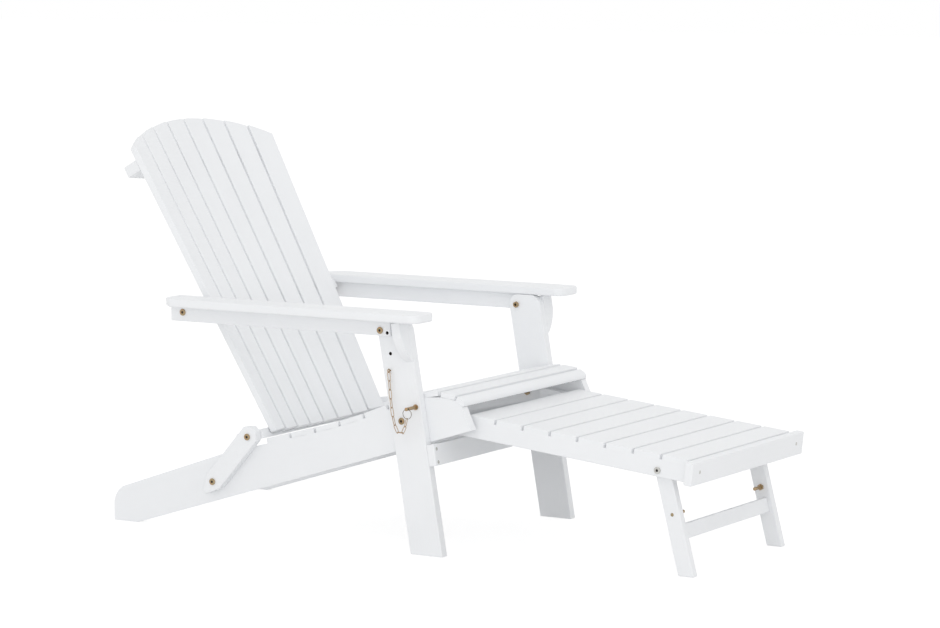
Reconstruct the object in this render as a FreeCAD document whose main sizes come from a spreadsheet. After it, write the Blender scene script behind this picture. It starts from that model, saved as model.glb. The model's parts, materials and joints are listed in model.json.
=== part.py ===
import FreeCAD, Part
import math
import os
import re
import Sketcher

# Folding deck chair with a fan back, flat arms and a pull-out footrest.
# Millimetres, X forward, Y to the sitter's left, Z up, floor at Z 0.
# Lengths along X are measured from the back of the heels; each placement takes the middle of the
# chair off, so it stands centred over the origin.

SIZES = [
    ("board", 22, "thickness of side rails, front legs, links and footrest rails"),
    ("seam", 0.3, "gap between faces that move past each other"),
    ("leg_face", 310, "outer face of the front legs from the middle plane"),
    ("slat_thick", 12, "thickness of seat and footrest slats"),
    ("foot_length", 70, "flat of the rear foot"),
    ("heel_height", 40, "straight back of the heel"),
    ("heel_radius", 50, "round over the heel"),
    ("heel_run", 36, "end of the heel round along X"),
    ("heel_top", 88, "end of the heel round in height"),
    ("kink_x", 333, "bend in the rail top behind the seat"),
    ("kink_z", 191, "its height"),
    ("dip_x", 516, "rear end of the seat hollow"),
    ("dip_z", 240, "its height"),
    ("hollow_x", 724, "front end of the seat hollow"),
    ("hollow_z", 302.5, "its height"),
    ("hollow_radius", 1780, "radius of the seat hollow"),
    ("crown_x", 840, "rear end of the knee crown"),
    ("crown_z", 348, "its height"),
    ("knee_x", 964, "front end of the knee crown"),
    ("knee_z", 361, "its height"),
    ("knee_radius", 210, "radius of the knee crown"),
    ("nose_x", 982.5, "start of the nose round"),
    ("nose_z", 350.3, "its height"),
    ("nose_radius", 12.9, "radius of the nose round"),
    ("tip_x", 987.8, "end of the nose round"),
    ("tip_z", 344.5, "its height"),
    ("chin_x", 1010.5, "front lower corner of the rail"),
    ("chin_z", 295, "its height"),
    ("seat_start", 448, "rear edge of the rearmost seat slat"),
    ("seat_inset", 1.7, "ends of the seat slats in from the outer faces of the side rails"),
    ("seat_width", 65.4, "width of a seat slat"),
    ("seat_gap", 6, "gap between seat slats"),
    ("slat_lift", 0.05, "paint between the seat slats and the side rails"),
    ("knee_slat", 38, "width of the narrow slat on the knee"),
    ("nose_slat", 24, "width of the nose slat"),
    ("nose_gap", 3, "gap at the foot of the nose slat"),
    ("nose_lip", 0.6, "straight edge left under the round of the nose slat"),
    ("leg_x", 861, "rear corner of the front leg on the floor"),
    ("leg_width", 86, "front leg measured level"),
    ("leg_lean", 9.7, "rearward lean of the front leg in degrees"),
    ("leg_front_round", 30, "round on the front top corner of the leg"),
    ("leg_rear_round", 23, "round on the rear top corner of the leg"),
    ("cross_z", 207, "lower edge of the front stretcher"),
    ("cross_high", 50, "height of the front stretcher"),
    ("cross_thick", 20, "thickness of the front stretcher"),
    ("pivot_x", 838, "leg pivot"),
    ("pivot_z", 307, "leg pivot height"),
    ("lock_x", 876, "lock pin"),
    ("lock_z", 342, "lock pin height"),
    ("arm_bolt_x", 793, "front arm bolt"),
    ("arm_bolt_z", 516, "front arm bolt height"),
    ("spare_x", 808, "blind hole for the other arm position"),
    ("spare_z", 461, "its height"),
    ("spare_deep", 14, "depth of the blind holes"),
    ("rail_hole_x", 812, "blind hole in the rail under the arm"),
    ("rail_hole_z", 511, "its height"),
    ("back_bolt_x", 240, "bolt between arm and back"),
    ("back_bolt_z", 525, "its height"),
    ("link_top_x", 408, "upper link bolt"),
    ("link_top_z", 237, "its height"),
    ("link_foot_x", 307, "lower link bolt"),
    ("link_foot_z", 122, "its height"),
    ("link_width", 48, "width of a link"),
    ("link_head", 26, "link end above the upper bolt"),
    ("link_bevel", 16, "corner bevel of the link head"),
    ("link_tail", 36, "link tip below the lower bolt"),
    ("link_tip", 12, "flat of the link tip"),
    ("bolt_size", 8, "diameter of the bolts"),
    ("bolt_play", 0.05, "radial play of a bolt in its hole"),
    ("head_size", 16, "diameter of a bolt head"),
    ("head_thick", 2.6, "thickness of a bolt head"),
    ("nut_size", 15, "nut across its corners"),
    ("nut_thick", 6, "thickness of a nut"),
    ("spacer_size", 18, "diameter of the spacer at the rear arm bolt"),
    ("grip_deep", 50, "reach of the upper link bolt into the bottom rib"),
    ("arm_top", 561.3, "top of the arm boards"),
    ("arm_thick", 20, "thickness of the arm boards"),
    ("arm_rear", 205, "rear end of the arms"),
    ("arm_front", 920, "front end of the arm boards"),
    ("arm_inner", 291, "inner edge of the arm boards from the middle plane"),
    ("arm_outer", 380, "outer edge of the arm boards from the middle plane"),
    ("arm_round", 25, "round on the front corners of the arm boards"),
    ("arm_bevel", 30, "bevel on the rear outer corner"),
    ("arm_rail_front", 820, "front end of the rails under the arms"),
    ("arm_rail_high", 38, "height of the rails under the arms"),
    ("arm_rail_thick", 20, "thickness of the rails under the arms"),
    ("bracket_thick", 22, "thickness of the arm brackets"),
    ("bracket_deep", 40, "how far a bracket stands out from the leg"),
    ("bracket_lip", 33, "straight upper part of a bracket"),
    ("bracket_high", 92, "height of a bracket"),
    ("bracket_toe", 3, "lower end of a bracket"),
    ("bracket_curve", 95, "radius of the hollow under a bracket"),
    ("back_x", 422, "foot of the back, front of the middle"),
    ("back_z", 237, "its height"),
    ("back_lean", 29.67, "rearward lean of the back in degrees"),
    ("back_length", 832, "length of the back in the middle"),
    ("back_thick", 16, "thickness of a back slat"),
    ("scoop", 1250, "radius of the scooped back"),
    ("fan_low", 60.5, "pitch of the back slats at the foot"),
    ("fan_high", 75, "pitch of the back slats at the top"),
    ("fan_gap", 6, "gap between back slats"),
    ("crest", 639, "radius of the top of the back"),
    ("rib_clear", 1.2, "gap between the ribs and the slat backs"),
    ("low_rib_deep", 70, "depth of the bottom rib"),
    ("low_rib_thick", 22, "thickness of the bottom rib"),
    ("low_rib_tilt", 14, "slope of the bottom rib in degrees"),
    ("mid_rib_deep", 45, "depth of the middle rib"),
    ("mid_rib_thick", 22, "thickness of the middle rib"),
    ("top_rib_deep", 40, "depth of the top rib"),
    ("top_rib_thick", 28, "thickness of the top rib"),
    ("top_rib_half", 289, "half length of the top rib"),
    ("top_rib_down", 118, "top rib below the crest"),
    ("rod_x", 899.3, "guide rod of the footrest"),
    ("rod_z", 293, "guide rod height"),
    ("rod_size", 10, "diameter of the guide rod"),
    ("groove_play", 0.3, "radial play of the rod in its groove"),
    ("groove_deep", 10, "depth of the groove in the side rail"),
    ("groove_run", 268, "length of the groove"),
    ("groove_slope", 12.5, "fall of the groove to the rear in degrees"),
    ("rest_slope", 6, "fall of the footrest to the front in degrees"),
    ("rest_length", 674, "guide rod to the front of the footrest"),
    ("rest_clear", 11.7, "gap between the footrest rails and the side rails"),
    ("rest_tail", 12, "footrest rail behind the guide rod"),
    ("rest_rail_high", 40, "height of the footrest rails"),
    ("rest_rail_lift", 10, "middle of the footrest rails above the guide rod"),
    ("rest_slat", 65.4, "width of a footrest slat"),
    ("rest_pitch", 71.4, "pitch of the footrest slats"),
    ("front_board_clear", 8, "ends of the front board in from the front legs"),
    ("front_board_thick", 20, "thickness of the footrest front board"),
    ("front_board_drop", 1, "front board below the footrest rails"),
    ("shin_inset", 99.4, "footrest leg pivot behind the front of the footrest"),
    ("shin_lift", 4.5, "footrest leg pivot above the guide rod line"),
    ("shin_lean", 14.4, "forward lean of the footrest legs in degrees"),
    ("shin_width", 38, "width of a footrest leg"),
    ("shin_thick", 20, "thickness of a footrest leg"),
    ("shin_cross_low", 164, "pivot to the lower edge of the footrest leg stretcher"),
    ("shin_cross_high", 34, "height of the footrest leg stretcher"),
    ("shin_cross_thick", 18, "thickness of the footrest leg stretcher"),
    ("stud_down", 104, "pivot to the stud on the footrest leg"),
    ("stud_reach", 35, "stud standing out of the footrest leg"),
    ("collar_size", 13, "diameter of the lock pin collar"),
    ("collar_thick", 3, "thickness of the lock pin collar"),
    ("pin_reach", 44, "lock pin standing out of the leg"),
    ("pin_tip", 1.5, "bevel on the outer end of the lock pin"),
    ("ring_at", 38, "ring hole out from the leg"),
    ("ring_hole", 4.2, "ring hole across its corners"),
    ("ring_radius", 11.5, "middle radius of the ring"),
    ("ring_wire", 2, "wire of the ring"),
    ("eye_x", 807, "screw eye on the leg"),
    ("eye_z", 422, "its height"),
    ("eye_radius", 4, "middle radius of the eye"),
    ("eye_wire", 2.2, "wire of the eye"),
    ("eye_stem", 3, "eye stem across its corners"),
    ("eye_deep", 12, "eye stem in the leg"),
    ("chain_length", 206, "length of the chain along its curve"),
    ("chain_wire", 2, "wire of a chain link"),
    ("chain_width", 8.6, "outer width of a chain link"),
    ("chain_play", 0.35, "half the play between two links"),
]

FORMULAS = {
    "front_end": "rod_x + rest_length*cos(rest_slope) + deck_top*sin(rest_slope)",
    "rear_end": "min(0; back_x - back_length*sin(back_lean) - back_thick*cos(back_lean))",
    "middle_x": "(front_end + rear_end)/2",
    "rest_rail_top": "rest_rail_lift + rest_rail_high/2",
    "rest_rail_low": "rest_rail_lift - rest_rail_high/2",
    "deck_top": "rest_rail_top + slat_thick",
    "rest_gap": "rest_pitch - rest_slat",
    "deck_end": "rest_length - front_board_thick - rest_gap",
    "nose_drop": "atan2(knee_z - nose_z; nose_x - knee_x)",
    "nose_soft": "slat_thick - nose_lip",
    "leg_layer": "leg_face - board/2",
    "leg_inside": "leg_face - board",
    "rail_face": "leg_inside - seam",
    "rail_layer": "rail_face - board/2",
    "rail_inside": "rail_face - board",
    "seat_half": "rail_face - seat_inset",
    "rest_half": "rail_inside - rest_clear",
    "front_board_half": "leg_inside - front_board_clear",
    "arm_layer": "leg_face + seam + arm_rail_thick/2",
    "arm_face": "leg_face + seam + arm_rail_thick",
    "arm_under": "arm_top - arm_thick",
    "leg_height": "arm_under - seam",
    "leg_slant": "tan(leg_lean)",
    "bolt_hole": "bolt_size + 2*bolt_play",
    "link_span": "sqrt((link_top_x - link_foot_x)^2 + (link_top_z - link_foot_z)^2)",
    "low_width": "fan_low - fan_gap",
    "high_width": "fan_high - fan_gap",
    "rib_front": "scoop + back_thick + rib_clear",
    "low_rib_skew": "back_lean - low_rib_tilt",
    "low_rib_half": "rail_face",
    "mid_rib_half": "arm_inner - 2*seam",
    "back_bolt_up": "(back_x - back_bolt_x)*sin(back_lean) + (back_bolt_z - back_z)*cos(back_lean)",
    "shin_layer": "rest_half - board - seam - shin_thick/2",
    "shin_inside": "rest_half - board - seam - shin_thick",
    "shin_run": "rest_length - shin_inset",
    "shin_pivot_x": "rod_x + shin_run*cos(rest_slope) + shin_lift*sin(rest_slope)",
    "shin_pivot_z": "rod_z - shin_run*sin(rest_slope) + shin_lift*cos(rest_slope)",
    "ring_out": "leg_face + ring_at",
    "ring_mid_z": "lock_z - ring_radius",
    "eye_out": "leg_face + eye_wire + eye_radius",
}

SIDES = (("right", "-1"), ("left", "1"))
BACK_SLATS = 8
FULL_SEAT_SLATS = 7
REST_SLATS = 8
CHAIN_LINKS = 10
WIRE_SIDES = 6
NUT_SIDES = 6
BOLT_SIDES = 12
BOW_STEPS = 4
EYE_STEPS = 12
RING_STEPS = 20
UPRIGHT = 90
CURVE_STEP = 0.25
TOUCH = 1e-6

doc = FreeCAD.newDocument("DeckChair")
sheet = doc.addObject("Spreadsheet::Sheet", "Sizes")
for row, (alias, size, note) in enumerate(SIZES, 1):
    sheet.set("A%d" % row, str(size))
    sheet.setAlias("A%d" % row, alias)
    sheet.set("B%d" % row, note)
doc.recompute()

ALIASES = {alias for alias, size, note in SIZES}
parts = []


def spell(formula):
    """Spell a formula out: named formulas in brackets, sizes by their cell."""
    def swap(match):
        word = match.group(0)
        if word in FORMULAS:
            return "(" + spell(FORMULAS[word]) + ")"
        return "Sizes." + word if word in ALIASES else word
    return re.sub(r"[a-z][a-z_]*", swap, formula)


def number(formula):
    """Value of a formula in plain millimetres or degrees."""
    value = sheet.evalExpression(spell(formula))
    return float(getattr(value, "Value", value))


def poise(x, y, z, turn="0", axis="0; 1; 0"):
    """Placement text: a place and a turn about an axis."""
    return "placement(vector(%s; %s; %s); rotation(vector(%s); %s))" % (x, y, z, axis, turn)


def stand(x, y, z, turn="0"):
    """Placement text for a place along the chair, with X measured from the heels."""
    return poise("%s - middle_x" % x, y, z, turn)


def keep(thing, label, where):
    """Name a finished piece, bind its place and list it for writing."""
    thing.Label = label
    thing.setExpression("Placement", spell(where))
    parts.append(thing)
    return thing


def pin(sketch, kind, where, formula):
    """Add a dimension to a sketch and bind it."""
    index = sketch.addConstraint(Sketcher.Constraint(kind, *where, number(formula)))
    sketch.setExpression("Constraints[%d]" % index, spell(formula))


def new_sketch(body, plane, name):
    """Empty sketch on one of the body's own planes."""
    sketch = body.newObject("Sketcher::SketchObject", body.Name + name)
    flat = [face for face in body.Origin.OriginFeatures if face.Role == plane]
    sketch.AttachmentSupport = [(flat[0], "")]
    sketch.MapMode = "FlatFace"
    return sketch


def crown_of(start, end, radius, side):
    """Middle point of an arc; side is 1 when it bulges left of travel, -1 when right."""
    chord = end - start
    rise = radius - math.sqrt(radius ** 2 - (chord.Length / 2) ** 2)
    left = FreeCAD.Vector(-chord.y, chord.x, 0).normalize()
    return (start + end) * 0.5 + left * (rise * side)


def outline(body, plane, name, corners):
    """Closed sketch through (x, y) corners; (x, y, radius, side) leaves its corner on an arc."""
    sketch = new_sketch(body, plane, name)
    spots = [FreeCAD.Vector(number(corner[0]), number(corner[1]), 0) for corner in corners]
    ends = []
    for index, corner in enumerate(corners):
        start, end = spots[index], spots[(index + 1) % len(spots)]
        if len(corner) == 2:
            sketch.addGeometry(Part.LineSegment(start, end))
            ends.append((1, 2))
            continue
        sketch.addGeometry(Part.Arc(start, crown_of(start, end, number(corner[2]), corner[3]), end))
        forward = sketch.getPoint(index, 1).distanceToPoint(start) < TOUCH
        ends.append((1, 2) if forward else (2, 1))
    for index in range(len(corners)):
        after = (index + 1) % len(corners)
        sketch.addConstraint(Sketcher.Constraint("Coincident", index, ends[index][1], after, ends[after][0]))
    for index, corner in enumerate(corners):
        pin(sketch, "DistanceX", (-1, 1, index, ends[index][0]), corner[0])
        pin(sketch, "DistanceY", (-1, 1, index, ends[index][0]), corner[1])
        if len(corner) > 2:
            pin(sketch, "Radius", (index,), corner[2])
    return sketch


def pad(body, sketch, length, middle=True, back=False):
    """Pad a sketch, to both sides alike unless told otherwise."""
    solid = body.newObject("PartDesign::Pad", body.Name + "Pad")
    solid.Profile = sketch
    solid.Midplane = middle
    solid.Reversed = back
    solid.setExpression("Length", spell(length))
    doc.recompute()
    return solid


def polygon(x, y, across, sides, start=0):
    """Corners of an even polygon on a circle of the given diameter, the first one at the start angle."""
    corners = []
    for step in range(sides):
        turn = start + 360 * step / sides
        corners.append(("%s + (%s)/2*cos(%g)" % (x, across, turn), "%s + (%s)/2*sin(%g)" % (y, across, turn)))
    return corners


def add_circle(sketch, x, y, diameter):
    """Put a circle with bound place and size into a sketch."""
    middle = FreeCAD.Vector(number(x), number(y), 0)
    index = sketch.addGeometry(Part.Circle(middle, FreeCAD.Vector(0, 0, 1), number(diameter) / 2))
    pin(sketch, "DistanceX", (-1, 1, index, 3), x)
    pin(sketch, "DistanceY", (-1, 1, index, 3), y)
    pin(sketch, "Diameter", (index,), diameter)


def drill(body, name, spots, diameter):
    """Round holes straight through a body, square to Y."""
    sketch = new_sketch(body, "XZ_Plane", name + "Circles")
    for x, y in spots:
        add_circle(sketch, x, y, diameter)
    return pierce(body, sketch, name)


def pierce(body, sketch, name):
    """Cut a sketch straight through a body."""
    hole = body.newObject("PartDesign::Pocket", body.Name + name)
    hole.Profile = sketch
    hole.Type = "ThroughAll"
    hole.Midplane = True
    doc.recompute()
    return hole


def sink(body, sketch, name, face, depth, inward):
    """Blind cut from a face square to Y, at the given height of that face, inward 1 for +Y."""
    sketch.setExpression("AttachmentOffset.Base.z", spell("-1*(%s)" % face))
    before = body.Tip.Shape.Volume
    cut = body.newObject("PartDesign::Pocket", body.Name + name)
    cut.Profile = sketch
    cut.Reversed = inward < 0
    cut.setExpression("Length", spell(depth))
    doc.recompute()
    if not cut.Shape.Volume < before:
        raise RuntimeError("%s of %s takes nothing away" % (name, body.Label))
    return cut


def bore(body, name, spot, diameter, face, depth, inward):
    """Blind round hole from a face square to Y."""
    sketch = new_sketch(body, "XZ_Plane", name + "Circle")
    add_circle(sketch, *spot, diameter)
    return sink(body, sketch, name, face, depth, inward)


def soften(body, name, radius, spots, along):
    """Fillet the straight edges of the tip that run along an axis through the given corners."""
    base = body.Tip
    names = []
    for x, y in spots:
        corner = (number(x), number(y))
        for index, edge in enumerate(base.Shape.Edges, 1):
            points = [[c for axis, c in enumerate(v.Point) if axis != along] for v in edge.Vertexes]
            if len(points) == 2 and all(math.dist(point, corner) < 0.01 for point in points):
                names.append("Edge%d" % index)
    if len(names) != len(spots):
        raise RuntimeError("%s of %s finds %d edges" % (name, body.Label, len(names)))
    round_over = body.newObject("PartDesign::Fillet", body.Name + name)
    round_over.Base = (base, names)
    round_over.setExpression("Radius", spell(radius))
    doc.recompute()
    return round_over


def new_body(label):
    """Empty body named after its piece."""
    return doc.addObject("PartDesign::Body", label)


def board(label, plane, corners, thickness, where):
    """A board: one outline padded to both sides of its plane."""
    body = new_body(label)
    pad(body, outline(body, plane, "Outline", corners), thickness)
    return keep(body, label, where)


def bar(label, low, high, length, where):
    """A straight bar across the chair with a rectangular section."""
    (x_low, z_low), (x_high, z_high) = low, high
    corners = [(x_low, z_low), (x_low, z_high), (x_high, z_high), (x_high, z_low)]
    return board(label, "XZ_Plane", corners, length, where)


def turned(name, corners):
    """A solid of revolution about Y from (radius, along Y) corners."""
    body = new_body(name)
    sketch = outline(body, "XY_Plane", "Section", corners)
    spin = body.newObject("PartDesign::Revolution", name + "Turned")
    spin.Profile = sketch
    spin.ReferenceAxis = (sketch, ["V_Axis"])
    spin.Angle = 360
    doc.recompute()
    return body


def outward(sign):
    """Turn about Z that points +Y of a piece away from the middle plane."""
    return "180" if sign == "-1" else "0"


def prism(body, name, across, start, length, sides=BOLT_SIDES):
    """Straight stretch of a bolt towards -Y, many-sided so that many bolts stay light."""
    sketch = outline(body, "XZ_Plane", name, polygon("0", "0", across, sides))
    sketch.setExpression("AttachmentOffset.Base.z", spell(start))
    return pad(body, sketch, length, middle=False)


def bolt(name, grip, tail="0", head=True, end="nut_size", end_long="nut_thick", end_sides=NUT_SIDES):
    """Bolt seen from its head: Y 0 is the seat of the head, the shank runs to -Y into a nut or spacer."""
    body = new_body(name)
    prism(body, "Shank", "bolt_size", "0", "%s + %s" % (grip, tail))
    if head:
        prism(body, "Head", "head_size", "-1*head_thick", "head_thick")
    if end:
        prism(body, "End", end, grip, end_long, end_sides)
    return body


def bolts(label, seats, **shape):
    """One node of like bolts, a pair for every (x, height of the head seat, z)."""
    group = []
    for index, (x, out, z) in enumerate(seats):
        for side, sign in SIDES:
            piece = bolt("%s_%s_%d" % (label, side, index), **shape)
            where = poise("%s - middle_x" % x, "%s*(%s)" % (sign, out), z, outward(sign), "0; 0; 1")
            piece.setExpression("Placement", spell(where))
            group.append(piece)
    bundle = doc.addObject("Part::Compound", label)
    bundle.Label = label
    bundle.Links = group
    parts.append(bundle)


# Side rails with the groove that carries the guide rod

RAIL_TOP = [
    ("kink_x", "kink_z"),
    ("dip_x", "dip_z", "hollow_radius", -1),
    ("hollow_x", "hollow_z"),
    ("crown_x", "crown_z", "knee_radius", 1),
    ("knee_x", "knee_z"),
    ("nose_x", "nose_z", "nose_radius", 1),
    ("tip_x", "tip_z"),
    ("chin_x", "chin_z"),
]
RAIL = [("0", "0"), ("0", "heel_height", "heel_radius", 1), ("heel_run", "heel_top")] + RAIL_TOP
RAIL.append(("foot_length", "0"))


def groove_corners():
    """Slot with round ends that follows the guide rod from rest to its rear stop."""
    half = "(rod_size/2 + groove_play)"
    side_x, side_z = half + "*sin(groove_slope)", half + "*cos(groove_slope)"
    end_x, end_z = "rod_x - groove_run*cos(groove_slope)", "rod_z - groove_run*sin(groove_slope)"
    return [
        ("rod_x + " + side_x, "rod_z - " + side_z, "1.0001*" + half, -1),
        ("rod_x - " + side_x, "rod_z + " + side_z),
        (end_x + " - " + side_x, end_z + " + " + side_z, "1.0001*" + half, -1),
        (end_x + " + " + side_x, end_z + " - " + side_z),
    ]


for side, sign in SIDES:
    rail = board("side_rail_" + side, "XZ_Plane", RAIL, "board", stand("0", sign + "*rail_layer", "0"))
    drill(rail, "Holes", [("pivot_x", "pivot_z"), ("link_foot_x", "link_foot_z")], "bolt_hole")
    groove = outline(rail, "XZ_Plane", "GrooveSlot", groove_corners())
    sink(rail, groove, "Groove", "%s*board/-2" % sign, "groove_deep", int(sign))


# Seat slats stepped along the top of the side rails


def curve_points(corners):
    """Closely spaced points along a line of corners, arcs included."""
    spots = [FreeCAD.Vector(number(corner[0]), number(corner[1]), 0) for corner in corners]
    points = []
    for corner, start, end in zip(corners, spots, spots[1:]):
        if len(corner) == 2:
            edge = Part.LineSegment(start, end).toShape()
        else:
            edge = Part.Arc(start, crown_of(start, end, number(corner[2]), corner[3]), end).toShape()
        run = edge.discretize(max(2, int(edge.Length / CURVE_STEP)))
        points += run if run[0].distanceToPoint(start) < TOUCH else run[::-1]
    return points


def step_along(points, start, distance):
    """Index of the first point at least a straight distance further on."""
    return next(i for i in range(start, len(points)) if points[i].distanceToPoint(points[start]) >= distance)


def seat_slat(label, width, base, angle, points):
    """Flat slat from a point of the rail top, raised until it only rests on the curve."""
    ahead = FreeCAD.Vector(math.cos(angle), math.sin(angle), 0)
    upright = FreeCAD.Vector(-ahead.y, ahead.x, 0)
    under = [p - base for p in points if 0 <= (p - base).dot(ahead) <= number(width)]
    seat = base + upright * (max(0, max(p.dot(upright) for p in under)) + number("slat_lift"))
    x, z = "%.6f" % seat.x, "%.6f" % seat.y
    turn = "%.6f" % -math.degrees(angle)
    return bar(label, ("0", "0"), (width, "slat_thick"), "2*seat_half", stand(x, "0", z, turn))


rail_line = curve_points(RAIL_TOP)
mark = next(i for i, point in enumerate(rail_line) if point.x >= number("seat_start"))
seat_steps = [("seat_width", "seat_gap")] * FULL_SEAT_SLATS + [("knee_slat", "nose_gap")]
for index, (width, gap) in enumerate(seat_steps, 1):
    last = step_along(rail_line, mark, number(width))
    reach = rail_line[last] - rail_line[mark]
    seat_slat("seat_slat_%d" % index, width, rail_line[mark], math.atan2(reach.y, reach.x), rail_line)
    mark = step_along(rail_line, last, number(gap))
nose_angle = -math.radians(number("nose_drop"))
nose = seat_slat("seat_nose_slat", "nose_slat", rail_line[mark], nose_angle, rail_line)
soften(nose, "Soft", "nose_soft", [("nose_slat", "slat_thick")], 1)


# Front legs, stretcher and brackets

LEG = [
    ("leg_x", "0"),
    ("leg_x - leg_slant*leg_height", "leg_height"),
    ("leg_x + leg_width - leg_slant*leg_height", "leg_height"),
    ("leg_x + leg_width", "0"),
]
for side, sign in SIDES:
    leg = board("front_leg_" + side, "XZ_Plane", LEG, "board", stand("0", sign + "*leg_layer", "0"))
    soften(leg, "RearRound", "leg_rear_round", [LEG[1]], 1)
    soften(leg, "FrontRound", "leg_front_round", [LEG[2]], 1)
    pivots = [("pivot_x", "pivot_z"), ("lock_x", "lock_z"), ("arm_bolt_x", "arm_bolt_z")]
    drill(leg, "Holes", pivots, "bolt_hole")
    outside = "%s*board/2" % sign
    bore(leg, "Spare", ("spare_x", "spare_z"), "bolt_size", outside, "spare_deep", -int(sign))
    eye_corners = polygon("eye_x", "eye_z", "eye_stem + 2*bolt_play", WIRE_SIDES, UPRIGHT)
    eye_shape = outline(leg, "XZ_Plane", "EyeShape", eye_corners)
    sink(leg, eye_shape, "EyeHole", outside, "eye_deep + seam", -int(sign))

cross_x = "leg_x + leg_width - leg_slant*cross_z"
bar("front_stretcher", ("0", "0"), ("cross_thick", "cross_high"), "2*leg_face",
    stand(cross_x, "0", "cross_z", "-1*leg_lean"))

for side, sign in SIDES:
    profile = [
        ("0", "0"),
        (sign + "*bracket_deep", "0"),
        (sign + "*bracket_deep", "-1*bracket_lip", "bracket_curve", int(sign)),
        (sign + "*bracket_toe", "-1*bracket_high"),
        ("0", "-1*bracket_high"),
    ]
    top = "leg_height - bracket_thick*sin(leg_lean)"
    middle = "leg_x + leg_width - leg_slant*(%s) - bracket_thick/2/cos(leg_lean)" % top
    board("arm_bracket_" + side, "YZ_Plane", profile, "bracket_thick",
          stand(middle, sign + "*leg_face", top, "-1*leg_lean"))


# Arms and the rails under them

for side, sign in SIDES:
    inner, outer = sign + "*arm_inner", sign + "*arm_outer"
    corners = [
        ("arm_rear", inner),
        ("arm_front", inner),
        ("arm_front", outer),
        ("arm_rear + arm_bevel", outer),
        ("arm_rear", sign + "*(arm_outer - arm_bevel)"),
    ]
    arm = new_body("armrest_" + side)
    pad(arm, outline(arm, "XY_Plane", "Outline", corners), "arm_thick", middle=False)
    soften(arm, "Rounds", "arm_round", corners[1:3], 2)
    keep(arm, "armrest_" + side, stand("0", "0", "arm_under"))
    rail = bar("arm_rail_" + side, ("arm_rear", "0"), ("arm_rail_front", "arm_rail_high"), "arm_rail_thick",
               stand("0", sign + "*arm_layer", "arm_under - arm_rail_high"))
    base = "arm_under - arm_rail_high"
    spots = [("arm_bolt_x", "arm_bolt_z - (%s)" % base), ("back_bolt_x", "back_bolt_z - (%s)" % base)]
    drill(rail, "Holes", spots, "bolt_hole")
    hole = ("rail_hole_x", "rail_hole_z - (%s)" % base)
    bore(rail, "BlindHole", hole, "bolt_size", "%s*arm_rail_thick/2" % sign, "spare_deep", -int(sign))


# Links between the side rails and the back

LINK = [
    ("-1*link_width/2", "0"),
    ("-1*link_width/2", "link_span + link_head - link_bevel"),
    ("link_bevel - link_width/2", "link_span + link_head"),
    ("link_width/2 - link_bevel", "link_span + link_head"),
    ("link_width/2", "link_span + link_head - link_bevel"),
    ("link_width/2", "0"),
    ("link_tip/2", "-1*link_tail"),
    ("-1*link_tip/2", "-1*link_tail"),
]
for side, sign in SIDES:
    turn = "atan2(link_top_x - link_foot_x; link_top_z - link_foot_z)"
    link = board("link_" + side, "XZ_Plane", LINK, "board",
                 stand("link_foot_x", sign + "*leg_layer", "link_foot_z", turn))
    drill(link, "Holes", [("0", "0"), ("0", "link_span")], "bolt_hole")


# Fan back: tapered slats tangent to a scooped curve, and three ribs behind them

BACK = stand("back_x", "0", "back_z", "-1*back_lean")
for index in range(BACK_SLATS):
    step = "(%g)" % (index - (BACK_SLATS - 1) / 2)
    low, high = step + "*fan_low", step + "*fan_high"
    corners = [("-1*low_width/2", "0"), ("low_width/2", "0")]
    for edge, bend in (("+ high_width/2", ("crest", 1)), ("- high_width/2", ())):
        rise = "back_length - crest + sqrt(crest^2 - (%s %s)^2)" % (high, edge)
        corners.append((edge.replace("+ ", "").replace("- ", "-1*"), rise) + bend)
    corners[2] = corners[2][:3] + (-1,)
    slat = new_body("back_slat_%d" % (index + 1))
    pad(slat, outline(slat, "YZ_Plane", "Outline", corners), "back_thick", middle=False, back=True)
    twist = "-1*asin(%s*(fan_low + fan_high)/2/scoop)" % step
    curl = poise("(%s)^2/2/scoop" % low, low, "0", twist, "0; 0; 1")
    fan = poise("0", "0", "0", "-1*atan(%s*(fan_high - fan_low)/back_length)" % step, "1; 0; 0")
    keep(slat, slat.Name, " * ".join((BACK, curl, fan)))


def rib_corners(front, depth, half, apex):
    """Curved strip: front arc through the apex, rear arc parallel to it, square ends."""
    rear = "(%s + %s)" % (front, depth)
    ends = ["%s + %s - sqrt(%s^2 - (%s)^2)" % (apex, front, radius, half) for radius in (front, rear)]
    return [
        (ends[0], "-1*(%s)" % half, front, 1),
        (ends[0], half),
        (ends[1], half, rear, -1),
        (ends[1], "-1*(%s)" % half),
    ]


for label, depth, thick, half, height in (
    ("back_rib_middle", "mid_rib_deep", "mid_rib_thick", "mid_rib_half", "back_bolt_up"),
    ("back_rib_top", "top_rib_deep", "top_rib_thick", "top_rib_half", "back_length - top_rib_down"),
):
    corners = rib_corners("rib_front", depth, half, "-1*(back_thick + rib_clear)")
    board(label, "XY_Plane", corners, thick, BACK + " * " + poise("0", "0", height))

low_rib = new_body("back_rib_bottom")
low_front = "(rib_front*cos(low_rib_skew))"
low_apex = "-1*(back_thick + rib_clear)/cos(low_rib_skew)"
low_corners = rib_corners(low_front, "low_rib_deep", "low_rib_half", low_apex)
low_pad = low_rib.newObject("PartDesign::Pad", "LowRibPad")
low_pad.Profile = outline(low_rib, "XY_Plane", "Outline", low_corners)
low_pad.UseCustomVector = True
skew = math.radians(number("low_rib_skew"))
low_pad.Direction = FreeCAD.Vector(-math.sin(skew), 0, math.cos(skew))
low_pad.AlongSketchNormal = True
low_pad.setExpression("Length", spell("low_rib_thick"))
doc.recompute()
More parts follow.
